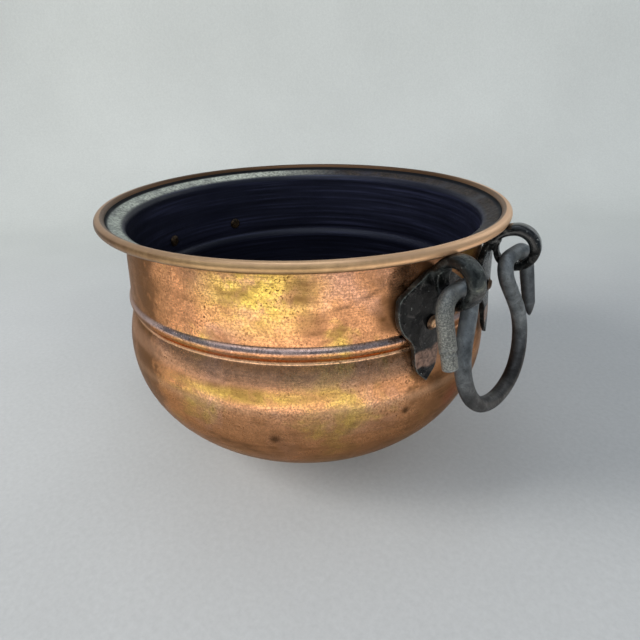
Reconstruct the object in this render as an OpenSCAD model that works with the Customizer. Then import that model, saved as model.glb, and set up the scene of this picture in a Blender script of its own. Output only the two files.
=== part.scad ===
// Copper cauldron with two wrought iron drop handles.
// Origin at the middle of the flat base, +Z up. The handles are on the +X and -X sides.
// Distances called "drop" are measured down from the top of the rim.

/* [Bowl] */
// Diameter over the rolled rim
rim_d = 300; // [270:1:330]
// Height from the base to the top of the rim
height = 190; // [175:1:220]
// Thickness of the copper sheet
wall = 1.8; // [1.4:0.1:2.2]
// Diameter of the rim's roll
roll_d = 6.2; // [5.4:0.1:7.4]
// How far the rim stands out beyond the top of the neck
rim_out = 17.9; // [16.5:0.1:22]
// How much further out the foot of the neck is than its top
neck_spread = 2.4; // [0.6:0.1:4]
// Slope of the ledge between neck and roll
ledge_slope = 20; // [10:1:30]
// Inner bend where the neck flares into the ledge, to the middle of the sheet
flare_r = 4.5; // [3:0.1:6]
// Bend where the ledge turns up into the roll, to the middle of the sheet
groove_r = 2.1; // [1.6:0.1:2.6]
// Drop of the middle of the pressed bead
bead_drop = 61.5; // [57:0.5:68]
// Height of the bead
bead_h = 8; // [6:0.5:10]
// How far the bead stands out from the neck
bead_out = 1.9; // [1.2:0.1:3]
// How far the waist under the bead lies in from the foot of the neck
waist_in = 1.1; // [0.4:0.1:3]
// Height of the step between bead and belly
step_h = 3.4; // [2:0.1:5]
// How far the belly stands out beyond the waist
belly_out = 6.8; // [4.5:0.1:12]
// Drop of the widest place
belly_drop = 99.3; // [92:0.1:108]
// Fullness of the lower belly, 2 is an ellipse
belly_fullness = 2.1; // [1.9:0.05:2.5]
// Diameter of the flat base
base_d = 116; // [90:1:140]

/* [Lugs] */
// Angle at the bowl's axis from the middle of a pair of lugs to each of them
lug_spread = 14.75; // [13:0.25:17]
// Width of the strap that is curled into the eye
eye_w = 11.5; // [10:0.5:13]
// Inside diameter of the eye
eye_d = 19; // [18:0.2:22]
// Thickness of the strap at the foot of the eye
strap_t = 4.8; // [4:0.1:6]
// Thickness of the strap at the crown of the eye
crown_t = 8.2; // [6.4:0.1:9]
// Thickness of the leaf
leaf_t = 4.4; // [3.4:0.1:5.4]
// Thickness of the leaf at its tip
leaf_tip_t = 2.8; // [2:0.1:3.4]
// Radius to which the leaf is bent round the neck, flatter than the neck
leaf_bend_r = 180; // [150:5:260]
// Width over the lobes of the leaf
leaf_w = 57; // [48:0.5:64]
// Radius of each lobe
lobe_r = 13.5; // [9:0.5:15]
// Width of the tongue below the lobes
tongue_w = 19.4; // [17:0.2:24]
// Width of the tongue where its sides turn towards the tip
cheek_w = 15.4; // [12:0.2:16.6]
// Height of that place above the tip
cheek_h = 6.2; // [4:0.2:9]
// Height of the lobes' middle above the bead's middle
lobe_rise = 20.5; // [16:0.5:23]
// Reach of the pointed tip below the bead's middle
tip_reach = 27.5; // [24:0.5:32]
// How far the leaf leans in from the bead to the eye
leaf_lean = 1.2; // [0.6:0.1:1.6]
// Angle by which the tip of a leaf points away from the other lug of its pair
leaf_tilt = 5; // [0:0.5:7]

/* [Rivets] */
// Diameter of the rivet's shank
shank_d = 5; // [4:0.1:6]
// Diameter of the upset end outside
stub_d = 7.2; // [6.6:0.1:9]
// Length of the upset end outside
stub_l = 2.8; // [2:0.1:5]
// Diameter of the head inside the bowl
head_d = 10; // [8:0.1:12]
// Height of the head inside the bowl
head_h = 2; // [1.4:0.1:3]
// Height of the rivets above the bead's middle
rivet_rise = 11.5; // [10:0.5:14]

/* [Handles] */
// Diameter of the handle's rod
rod_d = 10.4; // [9:0.1:11.4]
// Width of the handle's loop, to the middle of the rod
loop_w = 84.4; // [78:0.1:92]
// Reach of the loop below its pivot, to the middle of the rod
loop_reach = 84.4; // [78:0.1:94]
// Radius of the loop's corners
corner_r = 33; // [28:0.5:36]
// Radius of the loop's bottom
bottom_r = 60; // [52:0.5:80]
// Radius where the legs turn out towards the loop
leg_bend_r = 18; // [12:0.5:22]
// Inner radius of a hook's bend between leg and eye
leg_inner_r = 1.4; // [1:0.1:1.6]
// Inner radius of a hook's bend between eye and tail
tail_inner_r = 5; // [4:0.1:5.6]
// Reach of the blunt tail below the pivot
blunt_reach = 43; // [36:0.5:50]
// Diameter of the blunt tail at its end
blunt_d = 10.8; // [10.4:0.1:12]
// Reach of the pointed tail below the pivot
pointed_reach = 50.5; // [42:0.5:54]
// How much further out the pointed tail hangs than the blunt one
pointed_out = 4; // [0:0.5:6]
// Diameter of the pointed tail above its tip
pointed_d = 8.6; // [7:0.1:9]
// How far the handles stand out from the plumb line
handle_lean = 12; // [0:1:20]

/* [Clearances] */
// Gap between the leaf and the bead under it
seat_gap = 0.3; // [0.1:0.05:0.5]
// Gap between the rod and the eye that it rests in
rod_gap = 0.3; // [0.2:0.05:0.6]
// Gap between the eye and the roll above it
eye_gap = 0.4; // [0.3:0.1:1.5]
// Free play between a leg and the strap of its eye
leg_play = 3.5; // [3:0.1:4.2]
// Free play between a tail and the strap of its eye
tail_play = 1.9; // [1.6:0.1:2.6]
// Gap between the leaf's tip and the belly
tip_gap = 1.1; // [0.5:0.1:2]
// Gap round a rivet in its holes
rivet_gap = 0.05; // [0:0.01:0.2]

/* [Hidden] */
$fn = 96;

copper = "#b87343";
iron = "#2e2f31";
bright_copper = "#c98f5e";

// Levels above the base
bead_z = height - bead_drop;
bead_top_z = bead_z + bead_h / 2;
bead_low_z = bead_z - bead_h / 2;
waist_z = bead_low_z - step_h;
belly_z = height - belly_drop;
rivet_z = bead_z + rivet_rise;

// Outer radii
rim_r = rim_d / 2;
roll_r = roll_d / 2;
neck_top_r = rim_r - rim_out;
neck_low_r = neck_top_r + neck_spread;
bead_r = neck_low_r + bead_out;
waist_r = neck_low_r - waist_in;
belly_r = waist_r + belly_out;

// Middle of the sheet
half_wall = wall / 2;
neck_top_mid = neck_top_r - half_wall;
neck_low_mid = neck_low_r - half_wall;
waist_mid = waist_r - half_wall;
belly_mid = belly_r - half_wall;
base_mid = base_d / 2;

// Points on an arc from angle a0 to angle a1 in n steps
function arc(c, r, a0, a1, n) =
    [for (i = [0:n]) c + r * [cos(a0 + (a1 - a0) * i / n), sin(a0 + (a1 - a0) * i / n)]];
function unit(v) = v / norm(v);
// An index kept inside a list of n members
function clamp_i(i, n) = max(0, min(n - 1, i));
// Direction of a path at its point i, and the same turned a quarter to the right
function heading(p, i) = unit(p[clamp_i(i + 1, len(p))] - p[clamp_i(i - 1, len(p))]);
function beside(p, i) = let (h = heading(p, i)) [h[1], -h[0]];
function shifted(p, t) = [for (i = [0:len(p) - 1]) p[i] + t * beside(p, i)];
function reversed(p) = [for (i = [len(p) - 1:-1:0]) p[i]];
// Outline of a sheet of thickness t whose middle follows a path
function sheet(p, t) = concat(shifted(p, t / 2), reversed(shifted(p, -t / 2)));

// The roll turns outward and under. Its end stops short of the sheet that it comes from.
roll_c = [rim_r - roll_r, height - roll_r];
roll_mid_r = roll_r - half_wall;
roll_end = -140;
groove_c = roll_c - [roll_mid_r + groove_r, 0];
groove_end = groove_c + groove_r * [sin(ledge_slope), -cos(ledge_slope)];
// The ledge falls from the groove to the flare, which ends upright in the neck
flare_x = neck_top_mid + flare_r;
flare_start_x = flare_x - flare_r * sin(ledge_slope);
flare_start_z = groove_end[1] - (groove_end[0] - flare_start_x) * tan(ledge_slope);
flare_c = [flare_x, flare_start_z - flare_r * cos(ledge_slope)];
// The bead is an arc over its height
bead_arc_r = (pow(bead_h / 2, 2) + pow(bead_out, 2)) / (2 * bead_out);
bead_half = asin(bead_h / 2 / bead_arc_r);
bead_c = [neck_low_mid + bead_out - bead_arc_r, bead_z];
// Upper belly: an arc that stands upright at the widest place
upper_h = waist_z - belly_z;
upper_r = (pow(upper_h, 2) + pow(belly_mid - waist_mid, 2)) / (2 * (belly_mid - waist_mid));
upper_half = asin(upper_h / upper_r);
upper_c = [belly_mid - upper_r, belly_z];
// Lower belly: a superellipse from the widest place that reaches the base at its own diameter
lower_b = (belly_z - half_wall) / pow(1 - pow(base_mid / belly_mid, belly_fullness), 1 / belly_fullness);
lower_steps = 30;
lower_end = acos(pow(base_mid / belly_mid, belly_fullness / 2));
lower_belly = [for (i = [1:lower_steps]) let (a = lower_end * i / lower_steps)
    [belly_mid * pow(cos(a), 2 / belly_fullness), belly_z - lower_b * pow(sin(a), 2 / belly_fullness)]];

sheet_path = concat(
    arc(roll_c, roll_mid_r, roll_end, 180, 20),
    arc(groove_c, groove_r, -15, ledge_slope - 90, 4),
    arc(flare_c, flare_r, 90 + ledge_slope, 180, 7),
    arc(bead_c, bead_arc_r, bead_half, -bead_half, 10),
    arc(upper_c, upper_r, upper_half, 0, 12),
    lower_belly,
    // A second point inside the base's edge keeps the whole base level
    [[base_mid - 2 * wall, half_wall], [0, half_wall]]
);

// Outer radius of the upper belly at a level
function belly_r_at(z) = upper_c[0] + sqrt(pow(upper_r + half_wall, 2) - pow(z - belly_z, 2));
// Inner radius of the neck at a level
neck_low_z = bead_top_z;
neck_taper = (neck_low_mid - neck_top_mid) / (flare_c[1] - neck_low_z);
function neck_in_at(z) = neck_top_mid - half_wall + (flare_c[1] - z) * neck_taper;

// Leaf: radial distances of its inner face, from the seat on the bead
eye_r = eye_d / 2;
eye_out_r = eye_r + (strap_t + crown_t) / 2;
leaf_bead_x = bead_r + seat_gap;
leaf_eye_x = leaf_bead_x - leaf_lean;
tip_z = bead_z - tip_reach;
leaf_tip_x = belly_r_at(tip_z) + tip_gap;
// The eye bites this far into the leaf's outer face
eye_bite = 0.6;
eye_out_x = leaf_eye_x + leaf_t + eye_out_r - eye_bite;
eye_out_z = roll_c[1] - sqrt(pow(eye_out_r + roll_r + eye_gap, 2) - pow(eye_out_x - roll_c[0], 2));
// The hole lies off the middle of the strap's outer circle, away from the crown
crown_turn = 66;
hole_shift = (crown_t - strap_t) / 2;
eye_x = eye_out_x - hole_shift * cos(crown_turn);
eye_z = eye_out_z - hole_shift * sin(crown_turn);

// Crown of the strap: an arc that leaves the leaf's back upright and meets the eye from outside
crown_drop = 5.2;
crown_step = 0.4;
crown_x = leaf_eye_x + crown_step;
crown_reach = eye_out_x - crown_x;
crown_r = (pow(crown_reach, 2) + pow(crown_drop, 2) - pow(eye_out_r, 2)) / (2 * (crown_reach - eye_out_r));
crown_c = [crown_x + crown_r, eye_out_z - crown_drop];
leaf_top_z = crown_c[1] + crown_r / 2.5;
leaf_top_x = crown_c[0] - sqrt(pow(crown_r, 2) - pow(leaf_top_z - crown_c[1], 2)) - crown_step;

// Outline of one half of the leaf, from its top to its tip, as [across, level]
lobe_c = [leaf_w / 2 - lobe_r, bead_z + lobe_rise];
shoulder = [eye_w / 2, leaf_top_z];
lobe_start = atan2(shoulder[1] - lobe_c[1], shoulder[0] - lobe_c[0]) - acos(lobe_r / norm(shoulder - lobe_c));
waist_level = bead_z - 6;
// The hollow beside the tongue touches the lobe and leaves the tongue its width
hollow_dx = tongue_w / 2 - lobe_c[0];
hollow_dz = waist_level - lobe_c[1];
hollow_r = (pow(hollow_dx, 2) + pow(hollow_dz, 2) - pow(lobe_r, 2)) / (2 * (lobe_r - hollow_dx));
hollow_c = [tongue_w / 2 + hollow_r, waist_level];
lobe_end = atan2(hollow_c[1] - lobe_c[1], hollow_c[0] - lobe_c[0]);
tongue_turn = 184;
half_leaf = concat(
    [shoulder],
    arc(lobe_c, lobe_r, lobe_start, lobe_end, 14),
    arc(hollow_c, hollow_r, 180 + lobe_end, tongue_turn, 8),
    [[cheek_w / 2, tip_z + cheek_h], [0, tip_z]]
);
leaf_outline = concat(half_leaf, [for (p = reversed(half_leaf)) if (p[0] > 0.001) [-p[0], p[1]]]);

// Section of the leaf along its middle, inner face then outer face
leaf_section = [
    [leaf_top_x, leaf_top_z], [leaf_eye_x, crown_c[1]], [leaf_bead_x, bead_z], [leaf_tip_x, tip_z - 1],
    [leaf_tip_x + leaf_tip_t, tip_z - 1], [leaf_bead_x + leaf_t, bead_z], [leaf_eye_x + leaf_t, crown_c[1]],
    [leaf_top_x + leaf_t, leaf_top_z]
];
// The leaf is bent about an axis that lies this far from the bowl's own
leaf_axis_x = leaf_bead_x - leaf_bend_r;
leaf_out_at_rivet = leaf_eye_x + leaf_t + leaf_lean * (crown_c[1] - rivet_z) / (crown_c[1] - bead_z);
// Angle at the bowl's axis from the middle of a lug to its rivet, on the tilted leaf
rivet_turn = asin((eye_z - rivet_z) * sin(leaf_tilt) / neck_low_r);
rivet_at = lug_spread + rivet_turn;

// Pivot of a handle, in the plane halfway between its two lugs
rod_r = rod_d / 2;
eye_side = eye_x * sin(lug_spread);
pivot_x = eye_x * cos(lug_spread);
rod_slip = eye_w / 2 * tan(lug_spread);
pivot_z = eye_z - sqrt(pow(eye_r - rod_r - rod_gap, 2) - pow(rod_slip, 2));

// Handle, in its own plane: x across from the middle, y up from the pivot
leg_hook_r = rod_r + leg_inner_r;
tail_hook_r = rod_r + tail_inner_r;
strap_side = eye_w / 2 * cos(lug_spread);
leg_x = eye_side - strap_side - rod_r - leg_play;
tail_x = eye_side + strap_side + eye_out_r * sin(lug_spread) + rod_r + tail_play;
pointed_x = tail_x + pointed_out;
corner_x = loop_w / 2 - corner_r;
bottom_half = asin(corner_x / (bottom_r - corner_r));
corner_y = bottom_r - loop_reach - (bottom_r - corner_r) * cos(bottom_half);
leg_run = 0.5;
leg_bend_c = [leg_x + leg_bend_r, -leg_hook_r - leg_run];
leg_span = leg_bend_c - [corner_x, corner_y];
// Lean of the straight leg between its two bends
leg_lean = asin((corner_r + leg_bend_r) / norm(leg_span)) - atan2(leg_span[0], leg_span[1]);
leg_low = [corner_x, corner_y] + corner_r * [cos(leg_lean), sin(leg_lean)];
leg_high = leg_bend_c - leg_bend_r * [cos(leg_lean), sin(leg_lean)];
// Where two lengths of rod join, one is a hair thinner and is let into the other
weld_l = 0.4;
weld_d = rod_d - 0.1;
// Half the angle of the loop's bottom, with what is let into the corners
bottom_in = bottom_half + weld_l / bottom_r * 180 / PI;
point_l = 9;
blunt_chamfer = 1.6;

// A bent length of rod round the point c, from angle a0 to angle a1
module bend(c, r, a0, a1, d = rod_d) {
    translate([c[0], c[1], 0])
        rotate([0, 0, a0])
            rotate_extrude(angle = a1 - a0)
                translate([r, 0])
                    circle(d = d);
}

// A straight length of rod from point a to point b, with its diameter at each
module straight(a, b, d1, d2) {
    translate([a[0], a[1], 0])
        rotate([0, 0, atan2(b[1] - a[1], b[0] - a[0])])
            rotate([0, 90, 0])
                cylinder(d1 = d1, d2 = d2, h = norm(b - a));
}

// A straight between two bends: a hair thinner than they are, and let into both
module link(a, b) {
    into = weld_l * unit(b - a);
    straight(a - into, b + into, weld_d, weld_d);
}

// One leg with its hook, on the +x side of the handle's plane, whose tail hangs at tail_at
module leg_and_hook(tail_at) {
    bend([corner_x, corner_y], corner_r, bottom_half - 90, leg_lean);
    link(leg_low, leg_high);
    bend(leg_bend_c, leg_bend_r, 180, 180 + leg_lean);
    link([leg_x, -leg_hook_r - leg_run], [leg_x, -leg_hook_r]);
    bend([leg_x + leg_hook_r, -leg_hook_r], leg_hook_r, 90, 180);
    link([leg_x + leg_hook_r, 0], [tail_at - tail_hook_r, 0]);
    bend([tail_at - tail_hook_r, -tail_hook_r], tail_hook_r, 0, 90);
}

module blunt_tail() {
    end_y = blunt_chamfer - blunt_reach;
    straight([tail_x, weld_l - tail_hook_r], [tail_x, end_y], weld_d, blunt_d);
    straight([tail_x, end_y], [tail_x, -blunt_reach], blunt_d, blunt_d - 2 * blunt_chamfer);
}

module pointed_tail() {
    end_y = point_l - pointed_reach;
    straight([pointed_x, weld_l - tail_hook_r], [pointed_x, end_y], weld_d, pointed_d);
    straight([pointed_x, end_y], [pointed_x, -pointed_reach], pointed_d, pointed_d / 4);
}

// The drop handle hooked through a pair of eyes, hanging and leaning out by handle_lean
module handle() {
    color(iron)
        translate([pivot_x, 0, pivot_z])
            rotate([0, -handle_lean, 0])
                rotate([90, 0, 90]) {
                    bend([0, bottom_r - loop_reach], bottom_r, -90 - bottom_in, bottom_in - 90, weld_d);
                    leg_and_hook(pointed_x);
                    pointed_tail();
                    mirror([1, 0, 0]) {
                        leg_and_hook(tail_x);
                        blunt_tail();
                    }
                }
}

// A radial cylinder at the rivets' level, from radius x0 to radius x1
module radial(d, x0, x1) {
    translate([x0, 0, rivet_z])
        rotate([0, 90, 0])
            cylinder(d = d, h = x1 - x0);
}

// Sheet copper in one piece: rolled rim, ledge, neck, pressed bead, belly and flat base
module bowl() {
    color(copper)
        difference() {
            rotate_extrude($fn = 180)
                polygon(sheet(sheet_path, wall));
            for (side = [0, 180], way = [-1, 1])
                rotate([0, 0, side + way * rivet_at])
                    radial(shank_d + 2 * rivet_gap, neck_low_mid - 4 * wall, bead_r + wall);
        }
}

// The strap in the radial plane: the curled eye and the crown that joins it to the leaf
module strap_section() {
    out_c = [eye_out_x, eye_out_z];
    to_eye = unit(out_c - crown_c);
    meet = crown_c + 1.5 * crown_r * to_eye;
    difference() {
        union() {
            translate(out_c) circle(r = eye_out_r);
            intersection() {
                translate(crown_c) circle(r = crown_r);
                polygon([crown_c, meet, [leaf_eye_x, meet[1]], [leaf_eye_x, crown_c[1]]]);
            }
        }
        translate([eye_x, eye_z]) circle(r = eye_r);
    }
}

// One forged lug on the +X side: leaf, crown and curled eye. The leaf's tip leans to way (-1 or 1) in Y.
module lug(way) {
    color(iron)
        difference() {
            union() {
                rotate([90, 0, 0])
                    linear_extrude(eye_w, center = true)
                        strap_section();
                intersection() {
                    translate([leaf_axis_x, 0, 0])
                        rotate([0, 0, -20])
                            rotate_extrude(angle = 40, $fn = 180)
                                polygon([for (p = leaf_section) p - [leaf_axis_x, 0]]);
                    translate([leaf_eye_x - 4 * leaf_t, 0, 0])
                        rotate([90, 0, 90])
                            linear_extrude(9 * leaf_t)
                                translate([0, eye_z])
                                    rotate(way * leaf_tilt)
                                        translate([0, -eye_z])
                                            polygon(leaf_outline);
                }
            }
            rotate([0, 0, way * rivet_turn])
                radial(shank_d + 2 * rivet_gap, neck_low_mid, leaf_out_at_rivet + leaf_t);
        }
}

// One copper rivet on the +X side: low head inside, shank, upset end outside
module rivet() {
    neck_in = neck_in_at(rivet_z);
    color(bright_copper) {
        radial(shank_d, neck_in - head_h / 2, leaf_out_at_rivet + stub_l / 2);
        intersection() {
            translate([neck_in - head_h, 0, rivet_z])
                rotate([0, 90, 0])
                    cylinder(d1 = 0.6 * head_d, d2 = head_d, h = 2 * head_h);
            translate([0, 0, rivet_z - head_d])
                cylinder(r1 = neck_in_at(rivet_z - head_d), r2 = neck_in_at(rivet_z + head_d), h = 2 * head_d, $fn = 180);
        }
        radial(stub_d, leaf_out_at_rivet + seat_gap, leaf_out_at_rivet + stub_l);
    }
}

// Places a copy at a pair's side (0 or 180), turned by an angle to one of its two lugs (-1 or 1)
module at_lug(side, way, turn = lug_spread) {
    rotate([0, 0, side + way * turn])
        children();
}

module lug_right_front() { at_lug(0, -1) lug(-1); }
module lug_right_back() { at_lug(0, 1) lug(1); }
module lug_left_front() { at_lug(180, 1) lug(1); }
module lug_left_back() { at_lug(180, -1) lug(-1); }
module rivet_right_front() { at_lug(0, -1, rivet_at) rivet(); }
module rivet_right_back() { at_lug(0, 1, rivet_at) rivet(); }
module rivet_left_front() { at_lug(180, 1, rivet_at) rivet(); }
module rivet_left_back() { at_lug(180, -1, rivet_at) rivet(); }
module handle_right() { handle(); }
module handle_left() { rotate([0, 0, 180]) handle(); }

bowl();
lug_right_front();
lug_right_back();
lug_left_front();
lug_left_back();
rivet_right_front();
rivet_right_back();
rivet_left_front();
rivet_left_back();
handle_right();
handle_left();
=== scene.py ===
# Copper cauldron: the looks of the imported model, as a Blender 4.5 script in the layout of an add-on
import functools
import math

import bmesh
import bpy
from mathutils import Matrix, Vector, noise


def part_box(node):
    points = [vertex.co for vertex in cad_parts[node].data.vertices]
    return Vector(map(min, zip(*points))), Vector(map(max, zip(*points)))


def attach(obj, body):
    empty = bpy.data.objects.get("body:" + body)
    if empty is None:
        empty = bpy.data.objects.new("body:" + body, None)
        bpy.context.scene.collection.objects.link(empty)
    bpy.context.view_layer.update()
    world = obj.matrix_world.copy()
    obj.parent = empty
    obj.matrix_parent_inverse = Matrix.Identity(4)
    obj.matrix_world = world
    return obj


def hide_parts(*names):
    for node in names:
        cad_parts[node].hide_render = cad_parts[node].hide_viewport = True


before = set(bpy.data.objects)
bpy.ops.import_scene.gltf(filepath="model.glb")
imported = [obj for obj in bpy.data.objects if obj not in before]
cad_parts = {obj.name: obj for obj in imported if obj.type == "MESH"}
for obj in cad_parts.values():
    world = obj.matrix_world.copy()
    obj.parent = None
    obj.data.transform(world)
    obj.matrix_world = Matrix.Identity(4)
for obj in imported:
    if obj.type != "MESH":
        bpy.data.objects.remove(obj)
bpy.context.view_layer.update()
pot_low, pot_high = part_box("bowl")

bl_info = {
    "name": "Copper cauldron",
    "version": (1, 0, 0),
    "blender": (4, 5, 0),
    "location": "3D View > Sidebar > Cauldron",
    "description": "Spun copper pot with forged iron lugs, copper rivets and iron drop handles",
    "category": "Object",
}

MM = 0.001
# In degrees, half the angle between a handle's two lugs, and the angle of a rivet beside its lug's middle
SPREAD = 14.75
RIVET_TURN = 1.03
# Thickness of the handle's rod
ROD = 10.4 * MM
# Faces round the pot, a rivet and a rod
POT_STEPS, RIVET_STEPS, ROD_STEPS = 264, 40, 32
# Directions to the right and to the front as the camera sees them
RIGHT, FRONT = Vector((0.7372, 0.6756, 0)), Vector((0.6756, -0.7372, 0))
# Each place: turn of the lug in degrees, and the way in which its tongue points away from its pair's middle
PLACES = {
    "right_front": (-SPREAD, -1),
    "right_back": (SPREAD, 1),
    "left_front": (180 + SPREAD, 1),
    "left_back": (180 - SPREAD, -1),
}


class CauldronPot(bpy.types.PropertyGroup):
    """Sizes of the spun copper pot"""

    rim_diameter: bpy.props.FloatProperty(
        name="Rim diameter", description="Over the rolled rim", default=pot_high.x - pot_low.x, unit="LENGTH")
    height: bpy.props.FloatProperty(
        name="Height", description="From the base to the top of the rim", default=pot_high.z, unit="LENGTH")
    wall: bpy.props.FloatProperty(
        name="Sheet", description="Thickness of the copper sheet", default=1.8 * MM, unit="LENGTH")
    roll: bpy.props.FloatProperty(
        name="Roll", description="Diameter of the rim's roll", default=7.2 * MM, unit="LENGTH")
    rim_wave: bpy.props.FloatProperty(
        name="Rim wave", description="How far the hand-finished rim dips", default=0.35 * MM, unit="LENGTH")
    dents: bpy.props.FloatProperty(
        name="Dents", description="Depth of the soft dents in the wall", default=0.28 * MM, unit="LENGTH")


class CauldronIron(bpy.types.PropertyGroup):
    """Sizes of the forged iron lugs and drop handles"""

    rod: bpy.props.FloatProperty(
        name="Rod", description="Diameter of the handle's rod", default=ROD, unit="LENGTH")
    strap: bpy.props.FloatProperty(
        name="Strap", description="Width of the strap that is curled into the eye", default=11.5 * MM, unit="LENGTH")
    leaf: bpy.props.FloatProperty(
        name="Leaf", description="Thickness of the leaf", default=4.4 * MM, unit="LENGTH")
    hammer: bpy.props.FloatProperty(
        name="Hammer marks", description="Depth of the hammer marks", default=0.22 * MM, unit="LENGTH")
    lean: bpy.props.FloatProperty(
        name="Lean", description="How far the handles stand out from the plumb line",
        default=math.radians(12), subtype="ANGLE")


class CauldronStage(bpy.types.PropertyGroup):
    """Floor, lamps and camera"""

    floor: bpy.props.FloatVectorProperty(
        name="Floor", description="Colour of the pale floor", default=(0.505, 0.512, 0.510), subtype="COLOR")
    backdrop: bpy.props.FloatVectorProperty(
        name="Backdrop", description="Colour of the backdrop", default=(0.62, 0.632, 0.605), subtype="COLOR")
    lens: bpy.props.FloatProperty(
        name="Lens", description="Focal length in millimetres on a 36 mm sensor", default=29.25)


# Helpers for colours, nodes and meshes

def srgb(code):
    """Linear colour of an sRGB hex code."""
    parts = [int(code[i:i + 2], 16) / 255 for i in (1, 3, 5)]
    return tuple(p / 12.92 if p <= 0.04045 else ((p + 0.055) / 1.055) ** 2.4 for p in parts) + (1.0,)


def add(tree, kind, inputs=(), stops=(), **settings):
    """Adds a node of a kind, and its operation if one is named. Inputs are a list for the sockets in use or a dict by
    index or name: values, hex codes, or nodes or sockets to link from. Stops are a ramp's places and hex codes."""
    kind, _, operation = kind.partition(" ")
    made = tree.nodes.new("ShaderNode" + kind)
    if kind == "Mix":
        made.data_type = "RGBA"
    if operation:
        setattr(made, {"MapRange": "interpolation_type", "Mix": "blend_type"}.get(kind, "operation"), operation)
    for name, value in settings.items():
        setattr(made, name, value)
    if not isinstance(inputs, dict):
        inputs = dict(zip([i for i, socket in enumerate(made.inputs) if socket.enabled], inputs))
    for key, value in inputs.items():
        if isinstance(value, bpy.types.Node):
            value = next(socket for socket in value.outputs if socket.enabled)
        if isinstance(value, bpy.types.NodeSocket):
            tree.links.new(value, made.inputs[key])
        else:
            made.inputs[key].default_value = srgb(value) if isinstance(value, str) else value
    if stops:
        ramp = made.color_ramp.elements
        while len(ramp) < len(stops):
            ramp.new(1.0)
        for element, (place, code) in zip(ramp, stops):
            element.position, element.color = place, srgb(code)
    return made


def new_material(name):
    """A material with a clear node tree, the function that adds nodes to it, the place on the object, its x, y, z."""
    material = bpy.data.materials.new(name)
    material.use_nodes = True
    material.node_tree.nodes.clear()
    put = functools.partial(add, material.node_tree)
    place = put("TexCoord").outputs["Object"]
    return material, put, place, put("SeparateXYZ", [place]).outputs


def surface(material, put, relief, inputs):
    """Ends a material with its shader. Relief lists bumps: height, strength, depth in millimetres, sunk or not."""
    for height, strength, depth, *sunk in relief:
        under = {4: inputs["Normal"]} if "Normal" in inputs else {}
        inputs["Normal"] = put("Bump", {3: height, 0: strength, 1: depth * MM, **under}, invert=bool(sunk))
    put("OutputMaterial", [put("BsdfPrincipled", inputs)])
    return material


def make_object(name, bm, *finishes):
    """Turns a bmesh into a smooth object of the scene, with its materials."""
    mesh = bpy.data.meshes.new(name)
    bm.to_mesh(mesh)
    bm.free()
    for polygon in mesh.polygons:
        polygon.use_smooth = True
    made = bpy.data.objects.new(name, mesh)
    bpy.context.scene.collection.objects.link(made)
    for each in finishes:
        mesh.materials.append(each)
    return made


def created(made, kind):
    """What a bmesh operator made of one kind."""
    return [each for each in made["geom"] if isinstance(each, kind)]


def turned(bm, degrees):
    """Turns a bmesh about the pot's axis."""
    bmesh.ops.rotate(bm, verts=bm.verts[:], cent=(0, 0, 0), matrix=Matrix.Rotation(math.radians(degrees), 3, "Z"))


def spun(bm, verts, axis, steps):
    """Spins a chain of vertices once round an axis, merges its doubles and turns its faces outward."""
    edges = [bm.edges.new(pair) for pair in zip(verts, verts[1:])]
    bmesh.ops.spin(bm, geom=verts + edges, cent=(0, 0, 0), axis=axis, dvec=(0, 0, 0),
                   angle=math.tau, steps=steps, use_merge=True, use_duplicate=False)
    bmesh.ops.remove_doubles(bm, verts=bm.verts[:], dist=0.02 * MM)
    bmesh.ops.recalc_face_normals(bm, faces=bm.faces[:])


def unit(value):
    """A value held between 0 and 1."""
    return max(0.0, min(1.0, value))


def arc(cx, cy, radius, start, end, steps):
    """Points on an arc, angles in degrees."""
    turns = [math.radians(start + (end - start) * i / steps) for i in range(steps + 1)]
    return [(cx + radius * math.cos(t), cy + radius * math.sin(t)) for t in turns]


def resample(points, spacing):
    """The same path with points at the spacing that the function spacing(point) asks for."""
    out = [Vector(points[0])]
    left = spacing(out[0])
    for a, b in zip(points, points[1:]):
        a, b = Vector(a), Vector(b)
        length = (b - a).length
        at = 0.0
        while length - at > left:
            at += left
            out.append(a.lerp(b, at / length))
            left = spacing(out[-1])
        left -= length - at
    if (out[-1] - Vector(points[-1])).length < 0.3 * spacing(out[-1]):
        out.pop()
    out.append(Vector(points[-1]))
    return out


def eased(points, rounds, keep=lambda p: False):
    """A path whose corners are eased by averaging neighbours. The ends and what keep() names stay."""
    for _ in range(rounds):
        points = [points[0]] + [
            b if keep(b) else b * 0.5 + (a + c) * 0.25 for a, b, c in zip(points, points[1:], points[2:])
        ] + [points[-1]]
    return points


def beside(points, distance):
    """A path at a distance to the right of another."""
    out = []
    for i, p in enumerate(points):
        way = (points[min(i + 1, len(points) - 1)] - points[max(i - 1, 0)]).normalized()
        out.append(p + distance * Vector((way.y, -way.x)))
    return out


def ripple(place, size, seed):
    """Smooth noise between -1 and 1 with features of a real size in metres."""
    return noise.noise(Vector(place) / size + Vector((seed * 7.31, seed * 3.17, seed * 5.71)))


def dip(place, size, seed):
    """The same noise between 0 and 1."""
    return 0.5 + 0.5 * ripple(place, size, seed)


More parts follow.
